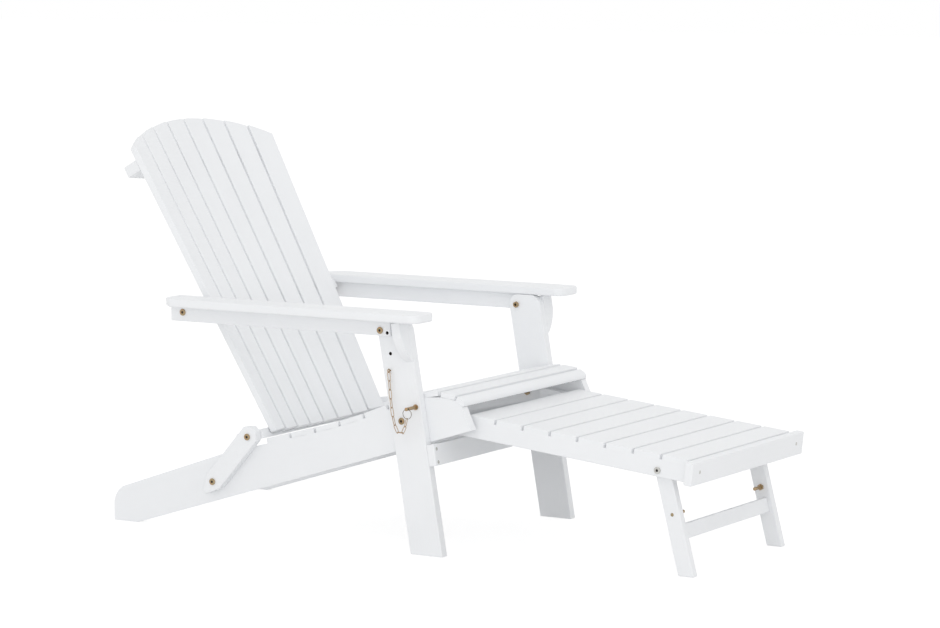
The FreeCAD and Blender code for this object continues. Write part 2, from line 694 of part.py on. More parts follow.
# The bolt sits in the middle of the rib's thickness, so the lower face passes half of it below
bolt_fore = "((link_top_x - back_x)*cos(low_rib_tilt) + (link_top_z - back_z)*sin(low_rib_tilt))"
bolt_rise = "((link_top_z - back_z)*cos(low_rib_tilt) - (link_top_x - back_x)*sin(low_rib_tilt))"
sole = "(%s - low_rib_thick/2)" % bolt_rise
for side, sign in SIDES:
    seat = (bolt_fore + " + (%s)*tan(low_rib_skew)" % sole, "low_rib_thick/2")
    outside = "%s*low_rib_half" % sign
    bore(low_rib, "BoltBore" + side, seat, "bolt_hole", outside, "grip_deep + seam", -int(sign))
low_shift = poise("-1*(%s)*tan(low_rib_skew)" % sole, "0", sole)
keep(low_rib, "back_rib_bottom", stand("back_x", "0", "back_z", "-1*low_rib_tilt") + " * " + low_shift)


# Footrest on its guide rod

rod = doc.addObject("Part::Cylinder", "footrest_guide_rod")
rod_half = "(rail_inside + groove_deep - seam)"
rod.setExpression("Radius", spell("rod_size/2"))
rod.setExpression("Height", spell("2*" + rod_half))
keep(rod, "footrest_guide_rod", poise("rod_x - middle_x", "-1*" + rod_half, "rod_z", "-90", "1; 0; 0"))

REST = stand("rod_x", "0", "rod_z", "rest_slope")
for side, sign in SIDES:
    rail = bar("footrest_rail_" + side, ("-1*rest_tail", "rest_rail_low"),
               ("rest_length - front_board_thick", "rest_rail_top"), "board",
               REST + " * " + poise("0", sign + "*(rest_half - board/2)", "0"))
    drill(rail, "RodHole", [("0", "0")], "rod_size + 2*bolt_play")
    drill(rail, "LegHole", [("shin_run", "shin_lift")], "bolt_hole")

for index in range(REST_SLATS):
    start = "deck_end - rest_slat - %d*rest_pitch" % (REST_SLATS - 1 - index)
    bar("footrest_slat_%d" % (index + 1), (start, "rest_rail_top"), (start + " + rest_slat", "deck_top"),
        "2*rest_half", REST)
bar("footrest_front_board", ("rest_length - front_board_thick", "rest_rail_low - front_board_drop"),
    ("rest_length", "deck_top"), "2*front_board_half", REST)


# Folding legs of the footrest

SHIN = stand("shin_pivot_x", "0", "shin_pivot_z", "-1*shin_lean")


def sole_of(x):
    """Height of the floor in the leg's own upright frame."""
    return "-1*(shin_pivot_z + (%s)*sin(shin_lean))/cos(shin_lean)" % x


for side, sign in SIDES:
    front, rear = "shin_width/2", "shin_width/-2"
    corners = [
        (rear, sole_of(rear)),
        (rear, "0", "1.0001*shin_width/2", 1),
        (front, "0"),
        (front, sole_of(front)),
    ]
    leg = board("footrest_leg_" + side, "XZ_Plane", corners, "shin_thick",
                SHIN + " * " + poise("0", sign + "*shin_layer", "0"))
    drill(leg, "Holes", [("0", "0"), ("0", "-1*stud_down")], "bolt_hole")
bar("footrest_leg_stretcher", ("shin_cross_thick/-2", "-1*shin_cross_low"),
    ("shin_cross_thick/2", "shin_cross_high - shin_cross_low"), "2*shin_inside", SHIN)


# Bolts, studs and pins

pivot_seat = ("pivot_x", "leg_face + seam", "pivot_z")
link_foot_seat = ("link_foot_x", "leg_face + seam", "link_foot_z")
bolts("base_bolts", [pivot_seat, link_foot_seat], grip="leg_face + seam - rail_inside")
bolts("arm_front_bolts", [("arm_bolt_x", "arm_face + seam", "arm_bolt_z")],
      grip="arm_face + seam - leg_inside")
bolts("arm_rear_bolts", [("back_bolt_x", "arm_face", "back_bolt_z")], grip="arm_rail_thick",
      end="spacer_size", end_long="leg_face + seam - arm_inner", end_sides=BOLT_SIDES)
bolts("link_top_bolts", [("link_top_x", "leg_face + seam", "link_top_z")],
      grip="leg_face + seam - low_rib_half + grip_deep", end="")
bolts("footrest_leg_bolts", [("shin_pivot_x", "rest_half", "shin_pivot_z")],
      grip="rest_half - shin_inside + seam")
stud_x = "shin_pivot_x + stud_down*sin(shin_lean)"
stud_z = "shin_pivot_z - stud_down*cos(shin_lean)"
bolts("footrest_leg_studs", [(stud_x, "shin_inside + shin_thick", stud_z)], grip="shin_thick",
      tail="stud_reach", head=False)

for side, sign in SIDES:
    section = [
        ("0", "-1*board"),
        ("bolt_size/2", "-1*board"),
        ("bolt_size/2", "0"),
        ("collar_size/2", "0"),
        ("collar_size/2", "collar_thick"),
        ("bolt_size/2", "collar_thick"),
        ("bolt_size/2", "pin_reach - pin_tip"),
        ("bolt_size/2 - pin_tip", "pin_reach"),
        ("0", "pin_reach"),
    ]
    lock = turned("lock_pin_" + side, section)
    ring_corners = polygon("ring_at", "0", "ring_hole", WIRE_SIDES, UPRIGHT)
    pierce(lock, outline(lock, "YZ_Plane", "RingShape", ring_corners), "RingHole")
    keep(lock, lock.Name, poise("lock_x - middle_x", sign + "*leg_face", "lock_z", outward(sign), "0; 0; 1"))


# Rings, and chains from the screw eyes to the rings, hung in a free curve


def hang(start, end, length, count):
    """Points that split a freely hanging chain into equal links."""
    level = FreeCAD.Vector(end.x - start.x, end.y - start.y, 0)
    drop = end.z - start.z
    wanted = math.sqrt(length ** 2 - drop ** 2)
    low, high = level.Length / 60, level.Length * 60
    while high - low > TOUCH:
        slack = (low + high) / 2
        if 2 * slack * math.sinh(level.Length / 2 / slack) > wanted:
            low = slack
        else:
            high = slack
    lowest = level.Length / 2 - slack * math.atanh(drop / length)
    points = []
    for step in range(count + 1):
        run = length * step / count / slack - math.sinh(lowest / slack)
        along = lowest + slack * math.asinh(run)
        height = slack * (math.cosh((along - lowest) / slack) - math.cosh(lowest / slack))
        points.append(start + level.normalize() * along + FreeCAD.Vector(0, 0, height))
    return points


def circle_path(radius, steps, start=0.0, sweep=2 * math.pi):
    """Points round a circle about the origin in the XY plane."""
    count = steps if sweep == 2 * math.pi else steps + 1
    turns = [start + sweep * step / steps for step in range(count)]
    return [FreeCAD.Vector(radius * math.cos(turn), radius * math.sin(turn), 0) for turn in turns]


def bent_wire(path, wire):
    """Closed wire along a flat path in the XY plane, six-sided so that many of them stay light."""
    rings = []
    for before, here, after in zip(path[-1:] + path[:-1], path, path[1:] + path[:1]):
        into, out = (here - before).normalize(), (after - here).normalize()
        mitre = FreeCAD.Vector(-into.y - out.y, into.x + out.x, 0).normalize()
        mitre = mitre * (1 / mitre.dot(FreeCAD.Vector(-out.y, out.x, 0)))
        corners = [math.pi / WIRE_SIDES * (2 * side + 1) for side in range(WIRE_SIDES)]
        rings.append([here + (mitre * math.cos(turn) + FreeCAD.Vector(0, 0, math.sin(turn))) * (wire / 2)
                      for turn in corners])
    faces = []
    for ring, after in zip(rings, rings[1:] + rings[:1]):
        for side in range(WIRE_SIDES):
            far = (side + 1) % WIRE_SIDES
            rim = [ring[side], ring[far], after[far], after[side], ring[side]]
            faces.append(Part.Face(Part.makePolygon(rim)))
    return Part.makeSolid(Part.makeShell(faces))


def wire_link(length, width, wire):
    """Long link about the origin, long way along Y."""
    bow = circle_path((width - wire) / 2, BOW_STEPS, 0, math.pi)
    rise = FreeCAD.Vector(0, (length - width) / 2, 0)
    return bent_wire([point + rise for point in bow] + [-point - rise for point in bow], wire)


def chain_of(sign):
    """Screw eye and links of one side, each its own solid."""
    wire, play = number("chain_wire"), number("chain_play")
    eye = FreeCAD.Vector(number("eye_x - middle_x"), sign * number("eye_out"), number("eye_z"))
    inward = FreeCAD.Vector(0, -sign, 0)
    loop = bent_wire(circle_path(number("eye_radius"), EYE_STEPS), number("eye_wire"))
    loop.Placement = FreeCAD.Placement(eye, FreeCAD.Rotation(FreeCAD.Vector(0, 1, 0), 90))
    stem_length = number("eye_out - eye_radius - leg_face + eye_deep")
    stem_corners = polygon("0", "0", "eye_stem", WIRE_SIDES, UPRIGHT)
    rim = [FreeCAD.Vector(number(x), 0, number(z)) for x, z in stem_corners]
    stem = Part.Face(Part.makePolygon(rim + rim[:1])).extrude(inward * stem_length)
    stem.translate(eye + inward * number("eye_radius"))
    solids = [loop.fuse(stem).removeSplitter()]
    start = eye - FreeCAD.Vector(0, 0, number("eye_radius - eye_wire/2 - seam"))
    ring = FreeCAD.Vector(number("lock_x - middle_x"), sign * number("ring_out"), number("ring_mid_z"))
    end = ring - FreeCAD.Vector(0, 0, number("ring_radius - ring_wire/2"))
    knots = hang(start, end, number("chain_length"), CHAIN_LINKS)
    upright = FreeCAD.Vector(0, 0, 1)
    paths = [(after - knot).normalize() for knot, after in zip(knots, knots[1:])] + [upright]
    # Every other link lies across the curve; its ends sit square in the bows of its neighbours
    for index in range(CHAIN_LINKS):
        lying = index % 2 == 1
        first = paths[index - 1] if lying else paths[index]
        last = paths[index + 1] if lying else paths[index]
        begin = knots[index] - first * (wire / 2 + play)
        finish = knots[index + 1] + last * (wire / 2 + play)
        ahead = (finish - begin).normalize()
        sideways = ahead.cross(inward).normalize()
        if lying:
            sideways = sideways.cross(ahead)
        turn = FreeCAD.Rotation(sideways, ahead, sideways.cross(ahead), "YXZ")
        link = wire_link(begin.distanceToPoint(finish) + wire, number("chain_width"), wire)
        link.Placement = FreeCAD.Placement((begin + finish) * 0.5, turn)
        solids.append(link)
    return Part.makeCompound(solids)


for side, sign in SIDES:
    chain = doc.addObject("Part::Feature", "chain_" + side)
    chain.Label = chain.Name
    chain.Shape = chain_of(int(sign))
    parts.append(chain)
    ring = doc.addObject("Part::Feature", "pin_ring_" + side)
    ring.Shape = bent_wire(circle_path(number("ring_radius"), RING_STEPS), number("ring_wire"))
    keep(ring, ring.Name, poise("lock_x - middle_x", sign + "*ring_out", "ring_mid_z", "90", "1; 0; 0"))


# Check and write

doc.recompute()
for thing in doc.Objects:
    if "Invalid" in thing.State or "Error" in thing.State:
        raise RuntimeError("%s did not build" % thing.Label)
os.makedirs("parts", exist_ok=True)
for piece in parts:
    if piece.Shape.isNull() or not piece.Shape.isValid():
        raise RuntimeError("%s has no valid shape" % piece.Label)
    piece.Shape.exportStep("parts/%s.step" % piece.Label)
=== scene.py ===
"""White folding deck chair with a fan back and a pull-out footrest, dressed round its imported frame.

Metres, X forward, Y to the sitter's left, Z up, floor at Z 0, as in the frame.
"""

import json
import logging
import math
import random
from dataclasses import dataclass, field
from enum import Enum

import bmesh
import bpy
from mathutils import Matrix, Vector
from mathutils.bvhtree import BVHTree
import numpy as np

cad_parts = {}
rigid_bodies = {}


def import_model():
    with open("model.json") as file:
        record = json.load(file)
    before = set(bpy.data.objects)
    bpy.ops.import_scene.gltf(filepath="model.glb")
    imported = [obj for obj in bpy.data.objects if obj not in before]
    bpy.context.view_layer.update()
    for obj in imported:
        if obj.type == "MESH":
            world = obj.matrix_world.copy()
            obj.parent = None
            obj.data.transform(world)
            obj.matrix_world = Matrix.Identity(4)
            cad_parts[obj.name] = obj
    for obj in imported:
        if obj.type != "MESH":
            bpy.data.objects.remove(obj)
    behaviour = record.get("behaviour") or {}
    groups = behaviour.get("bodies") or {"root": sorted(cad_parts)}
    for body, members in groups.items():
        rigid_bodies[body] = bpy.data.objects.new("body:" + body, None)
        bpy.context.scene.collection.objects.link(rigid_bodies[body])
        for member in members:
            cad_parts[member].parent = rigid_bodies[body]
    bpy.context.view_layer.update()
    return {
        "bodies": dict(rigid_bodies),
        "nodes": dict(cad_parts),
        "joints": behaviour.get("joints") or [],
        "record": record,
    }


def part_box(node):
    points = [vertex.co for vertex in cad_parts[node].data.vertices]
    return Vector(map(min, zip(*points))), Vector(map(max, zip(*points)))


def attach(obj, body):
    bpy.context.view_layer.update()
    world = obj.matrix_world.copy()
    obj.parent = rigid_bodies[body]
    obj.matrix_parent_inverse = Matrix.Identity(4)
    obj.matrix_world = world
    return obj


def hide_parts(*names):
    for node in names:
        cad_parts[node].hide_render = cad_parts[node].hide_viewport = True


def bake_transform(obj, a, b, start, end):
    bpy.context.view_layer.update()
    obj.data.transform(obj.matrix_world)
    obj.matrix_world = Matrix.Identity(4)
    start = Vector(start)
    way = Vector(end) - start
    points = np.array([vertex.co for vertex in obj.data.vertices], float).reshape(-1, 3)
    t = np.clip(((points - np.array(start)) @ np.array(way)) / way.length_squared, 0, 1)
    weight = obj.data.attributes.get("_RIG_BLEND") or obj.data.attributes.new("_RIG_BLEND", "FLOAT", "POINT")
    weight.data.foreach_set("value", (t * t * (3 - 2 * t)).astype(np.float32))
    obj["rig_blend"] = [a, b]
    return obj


LOG = logging.getLogger("deck_chair")

MERGE = 1e-6
FLAT = math.radians(0.3)
SHARP = math.radians(30)
BORE_STEP = 0.001
FULL_TURN = 2 * math.pi
SIDES = ("right", "left")
MIX_COLOURS = (6, 7)
MIX_RESULT = 2

Colour = tuple[float, float, float, float]
Box = tuple[Vector, Vector]


class Grain(Enum):
    """How the wood of a board runs."""

    LONGEST_EDGE = "along its longest straight edge"
    ACROSS = "across the chair"


class Slot(Enum):
    """Material slots of the record."""

    PAINT = "white_paint"
    ZINC = "yellow_zinc"
    CHAIN = "chain_steel"
    ROD = "rod_steel"


class Sketch:
    """Short hand for building a node tree."""

    def __init__(self, tree: bpy.types.NodeTree) -> None:
        """Keep the tree that nodes are added to."""
        self.tree = tree

    def add(self, kind: str, **settings) -> bpy.types.Node:
        """Add a node.

        Args:
            kind: Node type without its ShaderNode prefix.
            settings: Properties of the node, or inputs given by socket name with spaces as underscores.

        Returns:
            The new node.
        """
        node = self.tree.nodes.new("ShaderNode" + kind)
        for name, value in settings.items():
            if hasattr(node, name):
                setattr(node, name, value)
            else:
                node.inputs[name.replace("_", " ")].default_value = value
        return node

    def join(self, start: bpy.types.NodeSocket, *ends: bpy.types.NodeSocket) -> None:
        """Link one output to one or more inputs."""
        for end in ends:
            self.tree.links.new(start, end)

    def blend(self, share: bpy.types.NodeSocket | float, first, second) -> bpy.types.NodeSocket:
        """Mix two colours.

        Args:
            share: Socket or number, 0 for the first colour and 1 for the second.
            first: Socket or colour.
            second: Socket or colour.

        Returns:
            The mixed colour's socket.
        """
        node = self.tree.nodes.new("ShaderNodeMix")
        node.data_type = "RGBA"
        sockets = [node.inputs["Factor"]] + [node.inputs[number] for number in MIX_COLOURS]
        for socket, value in zip(sockets, (share, first, second)):
            if isinstance(value, bpy.types.NodeSocket):
                self.join(value, socket)
            else:
                socket.default_value = value
        return node.outputs[MIX_RESULT]

    def span(self, value: bpy.types.NodeSocket, low: float, high: float) -> bpy.types.NodeSocket:
        """Map a value of 0 to 1 onto a range and return the result's socket."""
        node = self.add("MapRange", To_Min=low, To_Max=high)
        self.join(value, node.inputs["Value"])
        return node.outputs["Result"]

    def sum(self, first, second, operation: str = "ADD") -> bpy.types.NodeSocket:
        """Combine two values by a math operation and return the result's socket."""
        node = self.add("Math", operation=operation)
        for socket, value in zip(node.inputs, (first, second)):
            if isinstance(value, bpy.types.NodeSocket):
                self.join(value, socket)
            else:
                socket.default_value = value
        return node.outputs["Value"]


class Effects:
    """Shader groups that more than one finish uses, each built once."""

    def __init__(self) -> None:
        """Build the groups."""
        self.streaks = self._streaks()
        self.mottle = self._mottle()
        self.rubbed = self._rubbed()

    def _group(self, name: str, inputs: dict[str, str], outputs: dict[str, str]) -> tuple:
        """Make an empty group with its sockets.

        Args:
            name: Name of the group.
            inputs: Socket names with their types.
            outputs: Socket names with their types.

        Returns:
            The group's sketch, its input node and its output node.
        """
        tree = bpy.data.node_groups.new(name, "ShaderNodeTree")
        for way, sockets in (("INPUT", inputs), ("OUTPUT", outputs)):
            for label, kind in sockets.items():
                tree.interface.new_socket(label, in_out=way, socket_type="NodeSocket" + kind)
        return Sketch(tree), tree.nodes.new("NodeGroupInput"), tree.nodes.new("NodeGroupOutput")

    def _streaks(self) -> bpy.types.NodeTree:
        """Lines that run along one axis: wood grain, brush strokes or drawing marks."""
        inputs = {"Place": "Vector", "Along": "Float", "Across": "Float"}
        draw, given, result = self._group("line_streaks", inputs, {"Streak": "Float", "Fine": "Float"})
        rates = draw.add("CombineXYZ")
        draw.join(given.outputs["Along"], rates.inputs["X"])
        draw.join(given.outputs["Across"], rates.inputs["Y"], rates.inputs["Z"])
        stretch = draw.add("VectorMath", operation="MULTIPLY")
        draw.join(given.outputs["Place"], stretch.inputs[0])
        draw.join(rates.outputs["Vector"], stretch.inputs[1])
        broad = draw.add("TexNoise", Scale=1.0, Detail=4.0, Roughness=0.55, Distortion=0.4)
        fine = draw.add("TexNoise", Scale=3.7, Detail=3.0, Roughness=0.6)
        draw.join(stretch.outputs["Vector"], broad.inputs["Vector"], fine.inputs["Vector"])
        draw.join(broad.outputs["Fac"], result.inputs["Streak"])
        draw.join(fine.outputs["Fac"], result.inputs["Fine"])
        return draw.tree

    def _mottle(self) -> bpy.types.NodeTree:
        """Soft clouds of uneven tone."""
        draw, given, result = self._group("mottle", {"Place": "Vector", "Scale": "Float"}, {"Cloud": "Float"})
        noise = draw.add("TexNoise", Detail=3.0, Roughness=0.5)
        draw.join(given.outputs["Place"], noise.inputs["Vector"])
        draw.join(given.outputs["Scale"], noise.inputs["Scale"])
        spread = draw.add("MapRange", From_Min=0.32, From_Max=0.68)
        draw.join(noise.outputs["Fac"], spread.inputs["Value"])
        draw.join(spread.outputs["Result"], result.inputs["Cloud"])
        return draw.tree

    def _rubbed(self) -> bpy.types.NodeTree:
        """Broken patches on the eased edges of a piece, where a finish is thinnest."""
        inputs = {"Edge": "Float", "Place": "Vector", "Scale": "Float", "Cover": "Float"}
        draw, given, result = self._group("rubbed_edge", inputs, {"Mask": "Float"})
        noise = draw.add("TexNoise", Detail=4.0, Roughness=0.65)
        draw.join(given.outputs["Place"], noise.inputs["Vector"])
        draw.join(given.outputs["Scale"], noise.inputs["Scale"])
        lifted = draw.sum(noise.outputs["Fac"], given.outputs["Cover"])
        step = draw.add("MapRange", From_Min=0.62, From_Max=0.86)
        draw.join(lifted, step.inputs["Value"])
        mask = draw.sum(step.outputs["Result"], given.outputs["Edge"], "MULTIPLY")
        draw.join(mask, result.inputs["Mask"])
        return draw.tree


def place_group(draw: Sketch, tree: bpy.types.NodeTree, **values: float) -> bpy.types.Node:
    """Place a shader group in a material.

    Args:
        draw: Sketch of the material.
        tree: The group.
        values: Numbers for its inputs by name.

    Returns:
        The group node.
    """
    node = draw.tree.nodes.new("ShaderNodeGroup")
    node.node_tree = tree
    for name, value in values.items():
        node.inputs[name].default_value = value
    return node


def new_material(name: str) -> tuple[bpy.types.Material, Sketch, bpy.types.Node]:
    """Make a material.

    Args:
        name: Name of the finish.

    Returns:
        The material, the sketch of its tree and its Principled BSDF.
    """
    material = bpy.data.materials.new(name)
    material.use_nodes = True
    return material, Sketch(material.node_tree), material.node_tree.nodes["Principled BSDF"]


@dataclass(frozen=True)
class SatinPaint:
    """White satin paint brushed over softwood, with the grain faintly showing through."""

    white: Colour = (0.88, 0.892, 0.908, 1.0)
    shade: Colour = (0.85, 0.862, 0.878, 1.0)
    primer: Colour = (0.77, 0.745, 0.69, 1.0)
    # Near-black painted shade inside drilled holes, over the bare wood of the bore.
    bare_wood_in_shade: Colour = (0.045, 0.032, 0.024, 1.0)
    grain_along: float = 7.0
    grain_across: float = 190.0
    brush_along: float = 14.0
    brush_across: float = 850.0
    cloud_scale: float = 9.0
    rub_scale: float = 60.0
    rub_cover: float = 0.04
    rub_strength: float = 0.4
    sheen_low: float = 0.36
    sheen_high: float = 0.56
    bump: float = 0.22
    bump_height: float = 0.0006

    def build(self, effects: Effects) -> bpy.types.Material:
        """Build the material from the board's own grain coordinates and return it."""
        material, draw, surface = new_material("satin_white_paint")
        grain = draw.add("Attribute", attribute_name="grain").outputs["Vector"]
        edge = draw.add("Attribute", attribute_name="edge").outputs["Fac"]
        bore = draw.add("Attribute", attribute_name="bore").outputs["Fac"]
        wood = place_group(draw, effects.streaks, Along=self.grain_along, Across=self.grain_across)
        brush = place_group(draw, effects.streaks, Along=self.brush_along, Across=self.brush_across)
        clouds = place_group(draw, effects.mottle, Scale=self.cloud_scale)
        rubbed = place_group(draw, effects.rubbed, Scale=self.rub_scale, Cover=self.rub_cover)
        for group in (wood, brush, clouds, rubbed):
            draw.join(grain, group.inputs["Place"])
        draw.join(edge, rubbed.inputs["Edge"])
        tone = draw.sum(clouds.outputs["Cloud"], wood.outputs["Streak"], "MULTIPLY")
        coat = draw.blend(tone, self.white, self.shade)
        thin = draw.sum(rubbed.outputs["Mask"], self.rub_strength, "MULTIPLY")
        worn = draw.blend(thin, coat, self.primer)
        # Faces marked as inside a hole take the near-black colour: painted shade in the bores.
        draw.join(draw.blend(bore, worn, self.bare_wood_in_shade), surface.inputs["Base Color"])
        sheen = draw.span(brush.outputs["Streak"], self.sheen_low, self.sheen_high)
        draw.join(sheen, surface.inputs["Roughness"])
        relief = draw.sum(wood.outputs["Streak"], brush.outputs["Fine"])
        bump = draw.add("Bump", Strength=self.bump, Distance=self.bump_height)
        draw.join(relief, bump.inputs["Height"])
        draw.join(bump.outputs["Normal"], surface.inputs["Normal"])
        return material


@dataclass(frozen=True)
class PlatedSteel:
    """Zinc plated steel whose passivated skin drifts between two tints."""

    name: str
    base: Colour
    tint: Colour
    # Near-black painted shade for the walls and floors of key sockets.
    socket_shade: Colour = (0.03, 0.024, 0.02, 1.0)
    cloud_scale: float = 260.0
    scratch_along: float = 300.0
    scratch_across: float = 2400.0
    gloss_low: float = 0.24
    gloss_high: float = 0.5
    bump: float = 0.12
    bump_height: float = 0.0002

    def build(self, effects: Effects) -> bpy.types.Material:
        """Build the material on Object coordinates and return it."""
        material, draw, surface = new_material(self.name)
        place = draw.add("TexCoord").outputs["Object"]
        bore = draw.add("Attribute", attribute_name="bore").outputs["Fac"]
        clouds = place_group(draw, effects.mottle, Scale=self.cloud_scale)
        scratch = place_group(draw, effects.streaks, Along=self.scratch_along, Across=self.scratch_across)
        draw.join(place, clouds.inputs["Place"], scratch.inputs["Place"])
        skin = draw.blend(clouds.outputs["Cloud"], self.base, self.tint)
        # Socket faces take the near-black colour and lose their metal: painted shade in the sockets.
        draw.join(draw.blend(bore, skin, self.socket_shade), surface.inputs["Base Color"])
        draw.join(draw.span(bore, 1.0, 0.0), surface.inputs["Metallic"])
        gloss = draw.span(scratch.outputs["Streak"], self.gloss_low, self.gloss_high)
        draw.join(gloss, surface.inputs["Roughness"])
        bump = draw.add("Bump", Strength=self.bump, Distance=self.bump_height)
        draw.join(scratch.outputs["Fine"], bump.inputs["Height"])
        draw.join(bump.outputs["Normal"], surface.inputs["Normal"])
        return material


class Finishes:
    """All finishes of the chair, built once."""

    def __init__(self) -> None:
        """Build every material."""
        effects = Effects()
        self.paint = SatinPaint().build(effects)
        zinc = PlatedSteel("yellow_zinc", (0.47, 0.28, 0.155, 1.0), (0.35, 0.31, 0.19, 1.0))
        pale_zinc = PlatedSteel("pale_zinc", (0.62, 0.62, 0.60, 1.0), (0.50, 0.49, 0.46, 1.0))
        chain = PlatedSteel("dulled_chain_wire", (0.52, 0.36, 0.24, 1.0), (0.45, 0.37, 0.27, 1.0))
        ring = PlatedSteel("dulled_ring_wire", (0.33, 0.32, 0.29, 1.0), (0.25, 0.22, 0.19, 1.0))
        rod = PlatedSteel("drawn_rod_steel", (0.55, 0.55, 0.55, 1.0), (0.46, 0.46, 0.47, 1.0),
                          scratch_along=40.0, scratch_across=1600.0)
        self.zinc = zinc.build(effects)
        self.pale_zinc = pale_zinc.build(effects)
        self.chain = chain.build(effects)
        self.ring = ring.build(effects)
        self.rod = rod.build(effects)


@dataclass
class Workshop:
    """The frame's nodes and bodies, the finishes, and the tools that every sub-assembly uses."""

    frame: dict
    finishes: Finishes
    body_of: dict[str, str] = field(default_factory=dict)
    made: list[str] = field(default_factory=list)

    def __post_init__(self) -> None:
        """Note the body of each node."""
        for body, nodes in self.frame["record"]["behaviour"]["bodies"].items():
            for node in nodes:
                self.body_of[node] = body

    def solid(self, node: str) -> bmesh.types.BMesh:
        """Copy a node's mesh, merged and with its flat faces whole again.

        Args:
            node: Name of the node.

        Returns:
            A new bmesh, left to the caller to free.
        """
        shape = bmesh.new()
        shape.from_mesh(self.frame["nodes"][node].data)
        bmesh.ops.remove_doubles(shape, verts=shape.verts, dist=MERGE)
        bmesh.ops.dissolve_limit(shape, angle_limit=FLAT, verts=shape.verts, edges=shape.edges)
        shape.normal_update()
        return shape

    def settle(self, shape: bmesh.types.BMesh, name: str, material: bpy.types.Material,
               slot: Slot) -> bpy.types.Object:
        """Turn a finished shape into an object with a finish.

        Args:
            shape: The shape, freed here.
            name: Name of the piece.
            material: Its finish.
            slot: The record's slot for it; not used.

        Returns:
            The new object, which doesn't ride on anything yet.
        """
        for face in shape.faces:
            face.smooth = True
        for edge in shape.edges:
            edge.smooth = len(edge.link_faces) != 2 or edge.calc_face_angle() < SHARP
        mesh = bpy.data.meshes.new(name)
        shape.to_mesh(mesh)
        shape.free()
        mesh.materials.append(material)
        piece = bpy.data.objects.new(name, mesh)
        bpy.context.scene.collection.objects.link(piece)
        even = piece.modifiers.new("even_shading", "WEIGHTED_NORMAL")
        even.keep_sharp = True
        self.made.append(name)
        return piece

    def boxes(self, node: str) -> list[Box]:
        """Boxes of a node's separate solids, from the right side to the left.

        Args:
            node: Name of the node.

        Returns:
            Lowest and highest corner of each solid.
        """
        shape = self.solid(node)
        found = [box_of(group) for group in islands(shape)]
        shape.free()
        return sorted(found, key=lambda box: (box[0].y, box[0].x))


def islands(shape: bmesh.types.BMesh) -> list[list[bmesh.types.BMVert]]:
    """Split a shape's vertices into those of its separate solids."""
    left, groups = set(shape.verts), []
    while left:
        first = left.pop()
        group, queue = [first], [first]
        while queue:
            vert = queue.pop()
            near = {edge.other_vert(vert) for edge in vert.link_edges} & left
            left -= near
            group += near
            queue += near
        groups.append(group)
    return groups


def box_of(group: list[bmesh.types.BMVert]) -> Box:
    """Lowest and highest corner of some vertices."""
    low = Vector(min(vert.co[axis] for vert in group) for axis in range(3))
    high = Vector(max(vert.co[axis] for vert in group) for axis in range(3))
    return low, high


def side_of(box: Box) -> tuple[float, float, float]:
    """Sign of a box's side of the chair, and its inner and outer distance from the middle plane."""
    inner, outer = sorted((abs(box[0].y), abs(box[1].y)))
    return math.copysign(1, box[0].y + box[1].y), inner, outer


def middle_at(box: Box, across: float) -> Vector:
    """Middle of a box seen from the side, at a place across the chair."""
    return Vector(((box[0].x + box[1].x) / 2, across, (box[0].z + box[1].z) / 2))


def blank() -> bmesh.types.BMesh:
    """Empty shape with the mark for faces inside a hole."""
    shape = bmesh.new()
    shape.faces.layers.float.new("bore")
    return shape


def is_bore(face: bmesh.types.BMFace) -> bool:
    """True for a narrow wall strip of a drilled hole or a groove's round end."""
    return len(face.verts) == 4 and min(edge.calc_length() for edge in face.edges) < BORE_STEP


